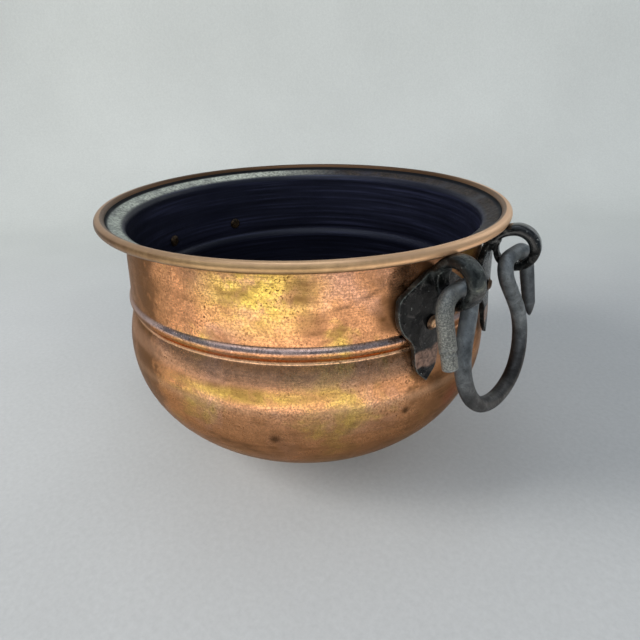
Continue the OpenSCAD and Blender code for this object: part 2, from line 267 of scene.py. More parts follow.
def sweep(bm, section, frames):
    """Drags a ring of section points (u, v) along frames of (centre, u axis, v axis, run), with closed ends."""
    u_layer = bm.verts.layers.float.new("section_u")
    v_layer = bm.verts.layers.float.new("section_v")
    run_layer = bm.verts.layers.float.new("run")
    ring = bmesh.ops.create_circle(bm, cap_ends=False, segments=len(section), radius=1.0)["verts"]
    for vert, (u, v) in zip(ring, section):
        vert[u_layer], vert[v_layer] = u, v
    edges = list({e for v in ring for e in v.link_edges})

    def place(verts, pose):
        centre, u_axis, v_axis, run = pose
        for vert in verts:
            vert.co = centre + u_axis * vert[u_layer] + v_axis * vert[v_layer]
            vert[run_layer] = run

    place(ring, frames[0])
    ends = [ring]
    for pose in frames[1:]:
        made = bmesh.ops.extrude_edge_only(bm, edges=edges)
        edges, ring = created(made, bmesh.types.BMEdge), created(made, bmesh.types.BMVert)
        place(ring, pose)
    ends.append(ring)
    for verts, pose in zip(ends, (frames[0], frames[-1])):
        bmesh.ops.pointmerge(bm, verts=verts, merge_co=pose[0])
    return bm


def mark_wear(bm, reach=0.0006):
    """Writes to the attribute wear how convex the surface is at each vertex, 0 when flat and 1 on an edge."""
    layer = bm.verts.layers.float.get("wear") or bm.verts.layers.float.new("wear")
    bm.normal_update()
    raw = {}
    for vert in bm.verts:
        near = [e.other_vert(vert).co for e in vert.link_edges]
        middle = sum(near, Vector()) / len(near)
        length = sum((n - vert.co).length for n in near) / len(near)
        raw[vert] = (vert.co - middle).dot(vert.normal) / max(length * length, 1e-12) * reach
    for vert in bm.verts:
        near = [raw[e.other_vert(vert)] for e in vert.link_edges]
        vert[layer] = unit(0.5 * raw[vert] + 0.5 * sum(near) / len(near))


# The pot's section, from the same sizes as the solid

def sheet_path(pot):
    """Middle of the copper sheet from the roll's end to the base's centre, as (radius, level) in metres."""
    half = pot.wall / 2
    rim_r, height = pot.rim_diameter / 2, pot.height
    roll_r = pot.roll / 2
    neck_top, neck_low = 132.1 * MM - half, 134.5 * MM - half
    waist, belly, base = 133.4 * MM - half, 140.2 * MM - half, 58 * MM
    bead_z, bead_h, bead_out = height - 61.5 * MM, 8 * MM, 1.9 * MM
    waist_z = bead_z - bead_h / 2 - 3.4 * MM
    belly_z = height - 99.3 * MM
    slope, flare_r, groove_r = math.radians(20), 4.5 * MM, 2.1 * MM
    roll_c = (rim_r - roll_r, height - roll_r)
    roll_mid = roll_r - half
    groove_c = (roll_c[0] - roll_mid - groove_r, roll_c[1])
    groove_end = (groove_c[0] + groove_r * math.sin(slope), groove_c[1] - groove_r * math.cos(slope))
    flare_x = neck_top + flare_r
    flare_start = flare_x - flare_r * math.sin(slope)
    flare_z = groove_end[1] - (groove_end[0] - flare_start) * math.tan(slope) - flare_r * math.cos(slope)
    bead_r = ((bead_h / 2) ** 2 + bead_out ** 2) / (2 * bead_out)
    bead_half = math.degrees(math.asin(bead_h / 2 / bead_r))
    upper_h = waist_z - belly_z
    upper_r = (upper_h ** 2 + (belly - waist) ** 2) / (2 * (belly - waist))
    upper_half = math.degrees(math.asin(upper_h / upper_r))
    fullness = 2.1
    low_b = (belly_z - half) / (1 - (base / belly) ** fullness) ** (1 / fullness)
    low_end = math.acos((base / belly) ** (fullness / 2))
    lower = []
    for i in range(1, 61):
        a = low_end * i / 60
        lower.append((belly * math.cos(a) ** (2 / fullness), belly_z - low_b * math.sin(a) ** (2 / fullness)))
    return (
        arc(*roll_c, roll_mid, -140, 180, 30)
        + arc(*groove_c, groove_r, -15, math.degrees(slope) - 90, 6)
        + arc(flare_x, flare_z, flare_r, 110, 180, 10)
        + arc(neck_low + bead_out - bead_r, bead_z, bead_r, bead_half, -bead_half, 14)
        + arc(belly - upper_r, belly_z, upper_r, upper_half, 0, 20)
        + lower
        + [(0.0, half)]
    )


def pot_spacing(pot):
    """Distance between the section's points: fine where it bends tightly, wide where it hardly bends."""
    rim_z = pot.height

    def spacing(p):
        if p.y > rim_z - 16 * MM:
            return 0.55 * MM
        if rim_z - 74 * MM < p.y < rim_z - 54 * MM:
            return 0.6 * MM
        if p.y < 3 * MM and p.x < 50 * MM:
            return 6 * MM
        return 3.2 * MM

    return spacing


def build_pot(pot):
    """Spins the section of the sheet once round and gives it the slight unevenness of handwork."""
    middle = eased(resample(sheet_path(pot), pot_spacing(pot)), 3, keep=lambda p: p.y > pot.height - 13 * MM)
    inner = beside(middle, pot.wall / 2)
    outer = beside(middle, -pot.wall / 2)
    inner[-1].x = outer[-1].x = 0.0
    outline = inner[::-1] + outer
    roll_from = len(inner) - 1
    roll_centre = Vector((pot.rim_diameter / 2 - pot.roll / 2, pot.height - pot.roll / 2))
    bm = bmesh.new()
    side = bm.verts.layers.float.new("side")
    verts = []
    for i, p in enumerate(outline):
        vert = bm.verts.new((p.x, 0.0, p.y))
        turn = math.degrees(math.atan2(p.y - roll_centre.y, p.x - roll_centre.x))
        on_roll = p.x > roll_centre.x - 3.55 * MM and p.y > pot.height - pot.roll and -150 < turn < 166
        vert[side] = 1.0 if i > roll_from else (0.5 if on_roll else 0.0)
        verts.append(vert)
    spun(bm, verts, (0, 0, 1), POT_STEPS)
    for face in bm.faces:
        mean = sum(v[side] for v in face.verts) / len(face.verts)
        face.material_index = 1 if 0.3 < mean < 0.8 else (0 if mean >= 0.8 else 2)
    for vert in bm.verts:
        x, y, z = vert.co
        radius = math.hypot(x, y)
        if radius < 1e-6:
            continue
        way = Vector((x, y, 0)) / radius
        # The neck's rolled top is stiffer than the wall below it, and the base is flat
        near_rim, above_base = unit((z - 0.165) / 0.025), min(1.0, z / 0.03)
        on_wall = (way.x * 0.135, way.y * 0.135, z)
        dent = 0.65 * dip(on_wall, 0.045, 2) + 0.35 * dip(on_wall, 0.018, 3)
        wave = dip((way.x * 0.15, way.y * 0.15, 0), 0.07, 5)
        vert.co -= way * pot.dents * dent * above_base * (1 - 0.75 * near_rim)
        vert.co.z -= pot.rim_wave * wave * near_rim ** 2
    return bm


# Forged iron

def lug_profile():
    """Sizes of the lug that its parts share, in metres, in the radial plane: x outward, z up."""
    return {
        "bead_z": 128.5 * MM, "seat_x": 136.7 * MM, "eye": Vector((154.6085, 167.749)) * MM, "eye_r": 9.5 * MM,
        "ring": Vector((155.3, 169.302)) * MM, "ring_r": 16 * MM, "crown": Vector((157.5765, 164.102)) * MM,
        "crown_r": 21.676 * MM, "top_x": 135.5 * MM, "tip_z": 101.2 * MM, "tip_x": 140.56 * MM,
        "top_z": 172.77 * MM, "bend_r": 180 * MM, "tip_t": 2.8 * MM,
    }


def leaf_back(size, z):
    """Radial distance of the leaf's inner face at a level."""
    if z > size["bead_z"]:
        part = min(1.0, (z - size["bead_z"]) / (size["crown"].y - size["bead_z"]))
        return size["seat_x"] + (size["top_x"] - size["seat_x"]) * part
    part = (size["bead_z"] - z) / (size["bead_z"] - size["tip_z"])
    return size["seat_x"] + (size["tip_x"] - size["seat_x"]) * part


def leaf_outline():
    """Outline of the leaf: shoulders, two lobes, hollows and a pointed tongue, as (across, level) in metres."""
    half = [(5.75, 172.8), (15.6, 166.4), (24.6, 160.2), (26.6, 157.2), (26.4, 151.5), (24.9, 145), (22.2, 139.6),
            (18.4, 134.9), (13.9, 130.8), (11.0, 127.2), (9.9, 123.4), (9.5, 119), (8.8, 113), (7.4, 108.6),
            (0, 101.2)]
    half = eased(resample([(x * MM, z * MM) for x, z in half], lambda p: 0.9 * MM), 5)
    return [tuple(p) for p in half] + [(-p.x, p.y) for p in reversed(half[:-1])]


def tongue_shift(size, z):
    """How far the leaf's middle lies to the side of its eye at a level."""
    most, reach = 6.2 * MM, 54 * MM
    part = unit((size["eye"].y - z) / reach)
    return most * part * part * (3 - 2 * part)


def build_lug_blank(iron):
    """Leaf and curled strap, still on a flat back, forge-welded into one skin by a voxel remesh."""
    size = lug_profile()
    bm = bmesh.new()
    face = bm.faces.new([bm.verts.new((0, y, z)) for y, z in leaf_outline()])
    made = bmesh.ops.extrude_face_region(bm, geom=[face])
    bmesh.ops.translate(bm, verts=created(made, bmesh.types.BMVert), vec=(iron.leaf, 0, 0))
    bmesh.ops.recalc_face_normals(bm, faces=bm.faces[:])

    # The strap's middle line: up the leaf, over the crown, round the eye, its end thinned and tucked under the crown
    crown, eye = size["crown"], size["eye"]
    to_eye = math.degrees(math.atan2(size["ring"].y - crown.y, size["ring"].x - crown.x))
    line = []
    strap_z = 145 * MM
    for i in range(8):
        part = i / 7
        at = Vector((size["top_x"] + iron.leaf / 2 + 0.5 * MM * part, strap_z + (crown.y - strap_z) * part))
        line.append((at, Vector((-1, 0)), iron.leaf * 0.96))
    shift = size["ring"] - eye

    def ring_thickness(out):
        along = shift.dot(out)
        return along + math.sqrt(size["ring_r"] ** 2 - shift.length_squared + along * along) - size["eye_r"]

    top = Vector((math.cos(math.radians(to_eye)), math.sin(math.radians(to_eye))))
    for i in range(1, 16):
        part = i / 15
        turn = math.radians(180 + (to_eye - 180) * part)
        out = Vector((math.cos(turn), math.sin(turn)))
        thick = iron.leaf + (ring_thickness(top) - iron.leaf) * part
        line.append((crown + out * (size["crown_r"] - thick / 2), out, thick))
    for i in range(1, 61):
        part = i / 60
        turn = math.radians(to_eye + (-218 - to_eye) * part)
        out = Vector((math.cos(turn), math.sin(turn)))
        thick = ring_thickness(out) * (1 - 0.62 * max(0.0, (part - 0.62) / 0.38) ** 1.3)
        line.append((eye + out * (size["eye_r"] + thick / 2), out, thick))
    frames = []
    for i, (centre, out, thick) in enumerate(line):
        part = i / (len(line) - 1)
        wide = iron.strap * (1.02 - 0.12 * max(0.0, part - 0.5) / 0.5)
        back = leaf_back(size, centre.y) if centre.y < crown.y else size["top_x"]
        frames.append((Vector((centre.x - back, 0, centre.y)), Vector((out.x, 0, out.y)) * thick / 2,
                       Vector((0, wide / 2, 0)), part))
    section = []
    for i in range(28):
        turn = math.tau * i / 28
        c, s = math.cos(turn), math.sin(turn)
        section.append((math.copysign(abs(c) ** 0.6, c), math.copysign(abs(s) ** 0.6, s)))
    strap = sweep(bmesh.new(), section, frames)
    bmesh.ops.recalc_face_normals(strap, faces=strap.faces[:])
    part_mesh = bpy.data.meshes.new("strap_blank")
    strap.to_mesh(part_mesh)
    strap.free()
    bm.from_mesh(part_mesh)
    bpy.data.meshes.remove(part_mesh)

    blank = make_object("lug_blank", bm)
    remesh = blank.modifiers.new("weld", "REMESH")
    remesh.mode, remesh.voxel_size, remesh.use_smooth_shade = "VOXEL", 0.62 * MM, True
    welded = bpy.data.meshes.new_from_object(blank.evaluated_get(bpy.context.evaluated_depsgraph_get()))
    bpy.data.objects.remove(blank)
    bm = bmesh.new()
    bm.from_mesh(welded)
    bpy.data.meshes.remove(welded)
    for _ in range(5):
        bmesh.ops.smooth_vert(bm, verts=bm.verts[:], factor=0.5, use_axis_x=True, use_axis_y=True, use_axis_z=True)
    return bm


def forge_lug(blank, iron, turn, way, seed):
    """Bends a blank round the neck, seats it on the bead, hammers it and turns it to its place."""
    size = lug_profile()
    bm = blank.copy()
    bm.normal_update()
    axis_x = size["seat_x"] - size["bend_r"]
    moves = []
    for vert in bm.verts:
        x, y, z = vert.co
        eye_way = Vector((x + size["top_x"], z)) - size["eye"]
        depth = iron.hammer * (0.55 + 0.45 * ripple((x, y, z), 0.0085, seed))
        depth += iron.hammer * 0.35 * dip((x, y, z), 0.0028, seed + 9)
        bore = eye_way.length < size["eye_r"] + 0.9 * MM
        inward = vert.normal * (-depth if not bore else -0.12 * MM)
        if z < 150 * MM and vert.normal.x < -0.7:
            inward = inward * 0.2
        moves.append(inward)
    for vert, move in zip(bm.verts, moves):
        vert.co += move
    for vert in bm.verts:
        x, y, z = vert.co
        y += way * tongue_shift(size, z)
        vert.co.y = y
        thin = 1.0
        if z < size["bead_z"]:
            part = (size["bead_z"] - z) / (size["bead_z"] - size["tip_z"])
            thin = 1 + (size["tip_t"] / iron.leaf - 1) * min(1.0, part)
        radius = x * thin + leaf_back(size, z) - axis_x
        vert.co.x = axis_x + math.sqrt(radius * radius - y * y)
    mark_wear(bm)
    # The sheet's cut flank is greyer than its face
    flank = bm.verts.layers.float.new("flank")
    bm.normal_update()
    radial = Vector((1, 0, 0))
    for vert in bm.verts:
        steep = (0.80 - abs(vert.normal.dot(radial))) / 0.35
        vert[flank] = unit(steep) if vert.co.z < 172 * MM else 0.0
    # A patch across the tongue above its tip is rubbed through the black
    rubbed = bm.verts.layers.float.new("rubbed")
    for vert in bm.verts:
        x, y, z = vert.co
        edge = abs(z - 117.5 * MM) / (6.0 * MM) + 0.5 * ripple((y, z, 0), 0.006, seed + 3)
        vert[rubbed] = unit(3.2 * (1 - edge)) if vert.normal.x > 0.5 else 0.0
    turned(bm, turn)
    return bm


def build_rivet(turn, seed):
    """Copper rivet: hammered low head inside, shank, upset end outside, spun about its own axis."""
    inner, outer = 130.9 * MM, 140.71 * MM
    profile = [(-2.0, 0.0), (-1.95, 1.6), (-1.6, 3.3), (-0.9, 4.5), (-0.25, 4.95), (0.05, 4.9), (0.1, 2.45)]
    points = [(inner + a * MM, r * MM) for a, r in profile]
    stub = [(0.25, 2.45), (0.3, 4.7), (0.6, 5.1), (1.0, 4.9), (1.25, 4.0), (1.7, 3.6), (2.3, 3.2), (2.7, 2.3),
            (2.8, 1.2), (2.8, 0.0)]
    points += [(outer + a * MM, r * MM) for a, r in stub]
    points = [tuple(p) for p in resample(points, lambda p: 0.45 * MM if p.y > 2.5 * MM or p.x < inner else 0.9 * MM)]
    bm = bmesh.new()
    verts = [bm.verts.new((x, r, 0)) for x, r in points]
    spun(bm, verts, (1, 0, 0), RIVET_STEPS)
    bm.normal_update()
    off_axis = bm.verts.layers.float.new("off_axis")
    for vert in bm.verts:
        vert[off_axis] = math.hypot(vert.co.y, vert.co.z)
        if vert.co.x < inner + 0.02 * MM or vert.co.x > outer + 0.4 * MM:
            vert.co -= vert.normal * 0.5 * MM * dip(vert.co, 0.0026, seed)
    mark_wear(bm)
    # The head follows the neck's curve inside
    neck_r, level = 131 * MM, 140 * MM
    for vert in bm.verts:
        if vert.co.x < inner + 0.2 * MM:
            vert.co.x -= vert.co.y ** 2 / (2 * neck_r)
    bmesh.ops.translate(bm, verts=bm.verts[:], vec=(0, 0, level))
    turned(bm, turn)
    return bm


def handle_path(tail_x):
    """Middle of one half of the rod in the handle's plane, from the loop's bottom to the tail, in millimetres."""
    loop_reach, corner_r, bottom_r, leg_bend_r = 84.4, 33.0, 60.0, 18.0
    leg_x, leg_hook, tail_hook = 25.1031, 6.6, 10.2
    corner = Vector((42.2 - corner_r, 0))
    bottom_half = math.degrees(math.asin(corner.x / (bottom_r - corner_r)))
    corner.y = bottom_r - loop_reach - (bottom_r - corner_r) * math.cos(math.radians(bottom_half))
    bend = Vector((leg_x + leg_bend_r, -leg_hook - 0.5))
    span = bend - corner
    lean = math.degrees(math.asin((corner_r + leg_bend_r) / span.length)) - math.degrees(math.atan2(span.x, span.y))
    return (
        arc(0, bottom_r - loop_reach, bottom_r, -90, bottom_half - 90, 10)
        + arc(*corner, corner_r, bottom_half - 90, lean, 30)[1:]
        + arc(*bend, leg_bend_r, 180 + lean, 180, 12)
        + arc(leg_x + leg_hook, -leg_hook, leg_hook, 180, 90, 12)
        + arc(tail_x - tail_hook, -tail_hook, tail_hook, 90, 0, 14)
    )


def rod_radius(left, right):
    """Half thickness of the rod in millimetres: left is the run from the blunt end, right from the pointed end."""
    radius = 5.2
    if left < 34:
        radius = 5.15 + 0.2 * (1 - left / 34)
        if left < 2.6:
            radius *= math.sqrt(max(0.02, 1 - (1 - left / 2.6) ** 2)) * 0.35 + 0.65 * min(1.0, (left + 0.5) / 2.6)
    elif right < 38:
        radius = 5.15 - 0.85 * (1 - right / 38)
        if right < 10:
            radius *= (max(0.0, right) / 10) ** 0.62
    return max(radius, 0.15)


def build_handle(iron, turn, seed):
    """Forged drop handle: a round rod dragged along its path, hammered slightly out of round."""
    blunt_x, blunt_end, pointed_x, pointed_end = 56.0978, -43.0, 60.0978, -50.5
    blunt = handle_path(blunt_x) + [(blunt_x, blunt_end)]
    pointed = handle_path(pointed_x) + [(pointed_x, pointed_end)]
    path = [(-x, y) for x, y in reversed(blunt)] + pointed[1:]
    points = eased(resample(path, lambda p: 0.95), 12)
    runs, total = [0.0], 0.0
    for a, b in zip(points, points[1:]):
        total += (b - a).length
        runs.append(total)
    scale = iron.rod / ROD
    frames = []
    for i, p in enumerate(points):
        way = (points[min(i + 1, len(points) - 1)] - points[max(i - 1, 0)]).normalized()
        radius = rod_radius(runs[i], total - runs[i]) * scale
        flat = 1 - 0.035 * (0.5 + 0.5 * noise.noise(Vector((runs[i] / 26, seed * 3.3, 0))))
        tall = 1 - 0.035 * (0.5 + 0.5 * noise.noise(Vector((runs[i] / 22, seed * 5.1, 7))))
        frames.append((Vector((0, p.x, p.y)) * MM, Vector((0, way.y, -way.x)) * radius * flat * MM,
                       Vector((1, 0, 0)) * radius * tall * MM, runs[i] * MM))
    section = [(math.cos(math.tau * i / ROD_STEPS), math.sin(math.tau * i / ROD_STEPS)) for i in range(ROD_STEPS)]
    bm = sweep(bmesh.new(), section, frames)
    bmesh.ops.recalc_face_normals(bm, faces=bm.faces[:])
    bm.normal_update()
    run = bm.verts.layers.float["run"]
    to_point = bm.verts.layers.float.new("to_point")
    moves = []
    for vert in bm.verts:
        vert[to_point] = total * MM - vert[run]
        near_blunt = max(0.0, 1 - vert[run] / (50 * MM))
        depth = 0.10 * dip(vert.co, 0.011, seed)
        depth += (0.05 + 0.12 * near_blunt) * dip(vert.co, 0.0032, seed + 4)
        depth += 0.4 * max(0.0, 1 - vert[run] / (14 * MM)) * dip(vert.co, 0.006, seed + 6)
        # An old break runs slantwise round the blunt tail above its lumpy end
        slant = vert[run] - (11.5 + 0.35 * vert.co.x / MM - 0.3 * (vert.co.y / MM + 56)) * MM
        depth += 0.75 * math.exp(-(slant / (0.9 * MM)) ** 2) + 0.35 * (1 if slant < 0 else 0)
        moves.append(vert.normal * depth * MM)
    for vert, move in zip(bm.verts, moves):
        vert.co -= move
    mark_wear(bm)
    pivot = Vector((149.5136, 0, 164.0465)) * MM
    bmesh.ops.rotate(bm, verts=bm.verts[:], cent=(0, 0, 0), matrix=Matrix.Rotation(-iron.lean, 3, "Y"))
    bmesh.ops.translate(bm, verts=bm.verts[:], vec=pivot)
    turned(bm, turn)
    return bm


# Materials

def spun_copper():
    """Old spun copper outside the pot: level spinning lines, brown oxide by patches, painted shade on both flanks,
    low on the belly, under the rim and round the near leaf, painted golden highlights on the neck and belly, patches
    rubbed golden or pink, and fine pits that show where it shines."""
    material, put, place, (x, y, level) = new_material("spun_copper_aged_painted_light")
    azimuth = put("Math ARCTAN2", [y, x])
    # Patches of 60 and 30 mm, mottling of 16 mm, flecks of 4 mm, and grain, dots and pits of 1 mm
    patches, patch, mottle, fleck, grain, dots, pits = (
        put("TexNoise", [place, *each]) for each in (
            (16, 4, 0.6, 2, 0.5), (34, 5, 0.62, 2, 0.8), (62, 7, 0.66), (250, 4, 0.7), (780, 3, 0.75), (640, 1, 0.5),
            (1000, 2, 0.55)))
    # Spinning lines run long round the pot: fine ones 0.9 mm apart, broad bands of 4 mm, and scratches
    lines = put("TexNoise", [put("Mapping", {0: place, 3: (11, 11, 1150)}), 1, 3, 0.6])
    bands = put("TexNoise", [put("Mapping", {0: place, 3: (22, 22, 110)}), 1, 5, 0.65])
    cuts = put("TexNoise", [put("Mapping", {0: place, 2: (0.12, 0.05, 0), 3: (24, 24, 1500)}), 1, 2])

    def spot(centre, inner, outer, stretch=(1, 1, 1), here=1.0, away=0.0):
        """One value near a centre in millimetres and another away from it, stretched by stretch in x, y and z."""
        moved = put("VectorMath SUBTRACT", [place, tuple(c * MM for c in centre)])
        far = put("VectorMath LENGTH", [put("VectorMath MULTIPLY", [moved, stretch])])
        far = put("Math MULTIPLY_ADD", [mottle, 0.9 * outer * MM, far])
        return put("MapRange SMOOTHSTEP", [far, (inner + 0.45 * outer) * MM, 1.45 * outer * MM, here, away])

    # Painted highlights: golden on the neck and in a band across the belly; also rubbed golden by patches, and pink
    # by patches
    gold_and_highlight = put("Math MAXIMUM", [spot((66, -115, 166), 12, 52, (1, 1, 1.4)),
                                spot((60, -125, 101), 10, 52, (0.7, 0.7, 6.5))])
    gold_and_highlight = put("Math MAXIMUM", [gold_and_highlight, put("MapRange SMOOTHSTEP", [patches, 0.52, 0.66, 0, 0.8])])
    gold_and_highlight = put("Math MULTIPLY", [gold_and_highlight, put("MapRange SMOOTHSTEP", [mottle, 0.36, 0.58, 0.25, 1])])
    pink = put("MapRange SMOOTHSTEP", [patches.outputs["Color"], 0.50, 0.62, 0, 0.75])
    colour = put("Mix", [pink, "#dfa072", "#e0ab90"])
    colour = put("Mix", [gold_and_highlight, colour, "#ebc765"])

    # Painted shade, brown, on both flanks, ragged at its edges
    ragged = put("Math MULTIPLY_ADD", [mottle, 0.5, azimuth])
    left, right = (
        put("MapRange SMOOTHSTEP", [put("Math ABSOLUTE", [put("Math ADD", [ragged, shift])]), near, far, most, 0])
        for shift, near, far, most in ((1.95, 0.47, 0.67, 1.25), (-0.40, 0.46, 0.60, 0.72)))
    # Also painted shade low on the belly, below the bead, under the rim, beside and below the golden highlight and
    # round the near leaf, and real brown oxide by patches
    patina_and_shade_marks = left
    for each in (right, put("MapRange SMOOTHSTEP", [level, 0.098, 0.045, 0, 0.8]),
                 put("Math MULTIPLY", [put("MapRange SMOOTHSTEP", [level, 0.094, 0.103, 0, 0.22]),
                                       put("MapRange SMOOTHSTEP", [level, 0.122, 0.117])]),
                 put("MapRange SMOOTHSTEP", [level, 0.174, 0.180, 0, 0.75]),
                 spot((88, -101, 168), 4, 17, (1.2, 1.2, 1.2), 0.55), spot((91.8, -96, 146), 4, 15, here=0.5),
                 spot((118.5, -60, 150), 5, 15, (1, 1, 0.8), 0.8),
                 put("MapRange SMOOTHSTEP", [patch, 0.50, 0.60, 0, 0.34])):
        patina_and_shade_marks = put("Math MAXIMUM", [patina_and_shade_marks, each])
    cloudy = put("MapRange SMOOTHSTEP", [bands, 0.44, 0.68, 0, 0.34])
    patina_and_shade = put("Math ADD", [patina_and_shade_marks, cloudy], use_clamp=True)
    patina_and_shade = put("Math MULTIPLY", [patina_and_shade, put("MapRange", [mottle, 0.34, 0.66, 0.68, 1.2])], use_clamp=True)
    # Less brown and less painted shade round the painted highlight on the neck
    patina_and_shade = put("Math MULTIPLY", [patina_and_shade, spot((104, -83, 166), 8, 26, (1, 1, 1.3), 0.2, 1.0)])
    colour = put("Mix", [patina_and_shade, colour, "#77502f"])

    # Painted light on the bead: a pale lavender painted reflection on its top, painted shade, brown, on its belly and
    # underside, and a painted highlight line below it. The belly's widest ring has a painted highlight and its
    # shoulder a paler painted sheen
    for low, high, soft, most, code in (
            (0.1296, 0.1326, 0.0012, 0.75, "#dcc4bf"), (0.1252, 0.1284, 0.0010, 0.45, "#8f5b35"),
            (0.1237, 0.1245, 0.0006, 0.75, "#5f3518"), (0.1208, 0.1228, 0.0008, 0.85, "#f8c8a0"),
            (0.0885, 0.0940, 0.0035, 0.22, "#f2c8a4"), (0.1070, 0.1170, 0.0030, 0.4, "#dfae8e")):
        up = put("MapRange SMOOTHSTEP", [level, low - soft, low + soft, 0, most])
        down = put("MapRange SMOOTHSTEP", [level, high + soft, high - soft])
        colour = put("Mix", [put("Math MULTIPLY", [up, down]), colour, code])

    # Grain of tiny dents and dots, strong where the copper is bright and faint under the brown oxide and painted
    # shade, flecks, spinning lines and more painted shade on the left flank
    free_of_patina_and_shade = put("Math MULTIPLY_ADD", [patina_and_shade, -1.3, 1.0], use_clamp=True)
    crowded = put("Math MULTIPLY", [put("MapRange SMOOTHSTEP", [patch, 0.52, 0.42]), free_of_patina_and_shade])
    dotted = put("Math MULTIPLY", [put("MapRange", [dots, 0.60, 0.68, 0, 0.85]), crowded])
    pitted = put("Math MAXIMUM", [dotted, put("MapRange", [pits, 0.56, 0.68, 0, 0.38])])
    shade = put("Math MULTIPLY_ADD", [put("MapRange", [grain, 0.36, 0.64, -0.46, 0.46]), free_of_patina_and_shade, 1.0])
    for each in ([fleck, 0.30, 0.70, 0.80, 1.12], [lines, 0.30, 0.70, 0.92, 1.05], [left, 0.5, 1.1, 1.0, 0.72]):
        shade = put("Math MULTIPLY", [shade, put("MapRange", each)])
    colour = put("Mix MULTIPLY", [1.0, colour, put("CombineXYZ", [shade, shade, shade])])
    # Pits, two stains and a red spot
    colour = put("Mix", [pitted, colour, "#6b4426"])
    for centre, reach, most, code in (((75, -115.5, 69.3), 6, 0.8, "#3d2615"),
                                      ((128.9, -52.4, 81.3), 4, 0.8, "#3d2615"),
                                      ((138, -9, 74), 16, 0.6, "#a8563c")):
        colour = put("Mix", [spot(centre, 1, reach, here=most), colour, code])

    # A crease on the neck and two long scratches down the belly, all slightly wavy
    drift = put("TexNoise", [place, 55, 2])
    shaken = put("VectorMath MULTIPLY_ADD", [drift.outputs["Color"], (0.006, 0.006, 0.006), place])
    for start, end, wide, most in (((100.6, -87.2, 155.5), (118.2, -59.7, 166.1), 0.8, 0.55),
                                   ((118.8, -62.4, 118.7), (109.8, -84.5, 75.5), 1.0, 0.4),
                                   ((126.0, -52.0, 80.0), (98.0, -88.0, 55.0), 0.8, 0.3)):
        start, end = Vector(start) * MM, Vector(end) * MM
        way = tuple((end - start).normalized())
        # The noise has a mean of a half, so it moves each mark by half its depth
        start += Vector((0.003, 0.003, 0.003))
        length = (end - start).length
        offset = put("VectorMath SUBTRACT", [shaken, tuple(start)])
        aside = put("VectorMath LENGTH", [put("VectorMath CROSS_PRODUCT", [offset, way])])
        mark = put("MapRange", [aside, wide * 2.6 * MM, wide * 0.6 * MM, 0, most])
        middle = put("Math SUBTRACT", [put("VectorMath DOT_PRODUCT", [offset, way]), length / 2])
        reach = put("MapRange", [put("Math ABSOLUTE", [middle]), length * 0.62, length * 0.4])
        colour = put("Mix", [put("Math MULTIPLY", [mark, reach]), colour, "#5d4433"])

    rough = 0.075
    for each, gain in ((patina_and_shade, 0.24), (pitted, 0.25), (fleck, 0.10)):
        rough = put("Math MULTIPLY_ADD", [each, gain, rough])
    cut = put("Math MULTIPLY", [put("MapRange", [cuts, 0.60, 0.66]), put("MapRange", [level, 0.135, 0.165, 0.15, 1])])
    relief = [(mottle, 0.16, 0.6), (lines, 0.2, 0.08), (fleck, 0.14, 0.20), (cut, 0.5, 0.08, "sunk"),
              (pitted, 0.3, 0.10, "sunk"), (grain, 0.2, 0.08)]
    return surface(material, put, relief, {
        "Base Color": colour, "Metallic": put("Math MULTIPLY_ADD", [patina_and_shade, -0.35, 1.0]), "Roughness": rough,
        "Specular Tint": (0.80, 0.57, 0.42, 1)})


def rim_copper(pot):
    """The rolled rim: copper handled and wiped for years, dull tan, with painted shade and painted highlights round
    the pot, and scratches along it.
    """
    material, put, place, (x, y, level) = new_material("rolled_rim_copper_worn_painted_light")
    lines = put("TexNoise", [put("Mapping", {0: place, 3: (20, 20, 1100)}), 1, 3, 0.6])
    mottle = put("TexNoise", [place, 120, 6, 0.65])
    grain = put("TexNoise", [place, 1100, 2])
    # Painted shade, brown, on one side, a pale painted highlight on the other and painted shade at the back, by the
    # distance along level directions
    along = put("VectorMath DOT_PRODUCT", [place, (0.76, 0.65, 0)])
    along = put("Math MULTIPLY_ADD", [mottle, 0.06, along])
    far_side_shade = put("VectorMath DOT_PRODUCT", [place, FRONT])
    far_side_shade = put("MapRange SMOOTHSTEP", [far_side_shade, -0.01, -0.09, 0, 0.95])
    # A pale painted highlight on the roll's crown, brown on its inner side and painted shade, brown, on its underside
    radius = put("VectorMath LENGTH", [put("CombineXYZ", [x, y])])
    edge, top = pot.rim_diameter / 2, pot.height
    crown = put("MapRange SMOOTHSTEP", [level, top - 2.1 * MM, top - 1.0 * MM, 0, 0.5])
    crown = put("Math MULTIPLY", [crown, put("MapRange", [far_side_shade, 0, 0.95, 1, 0.1])])
    inner_brown_and_shade_under = put("Math MAXIMUM", [put("MapRange SMOOTHSTEP", [radius, edge - 3.9 * MM, edge - 4.9 * MM, 0, 0.9]),
                                  put("MapRange SMOOTHSTEP", [level, top - 5.5 * MM, top - 6.3 * MM, 0, 0.9])])
    colour = put("ValToRGB", [mottle], [(0.30, "#7f6242"), (0.50, "#a5835a"), (0.72, "#c09c6e")])
    for mask, code in ((lines, "#c09c70"), (put("MapRange SMOOTHSTEP", [along, 0, -0.10, 0, 0.9]), "#6c4a2b"),
                       (put("MapRange SMOOTHSTEP", [along, 0.03, 0.11, 0, 0.9]), "#f3c294"), (far_side_shade, "#44392f"),
                       (crown, "#e2b893"), (inner_brown_and_shade_under, "#5f432c")):
        colour = put("Mix", [mask, colour, code])
    rough = put("MapRange", [grain, 0.3, 0.7, 0.32, 0.44])
    return surface(material, put, [(lines, 0.25, 0.1), (grain, 0.25, 0.1)],
                   {"Base Color": colour, "Metallic": 0.75, "Roughness": rough})


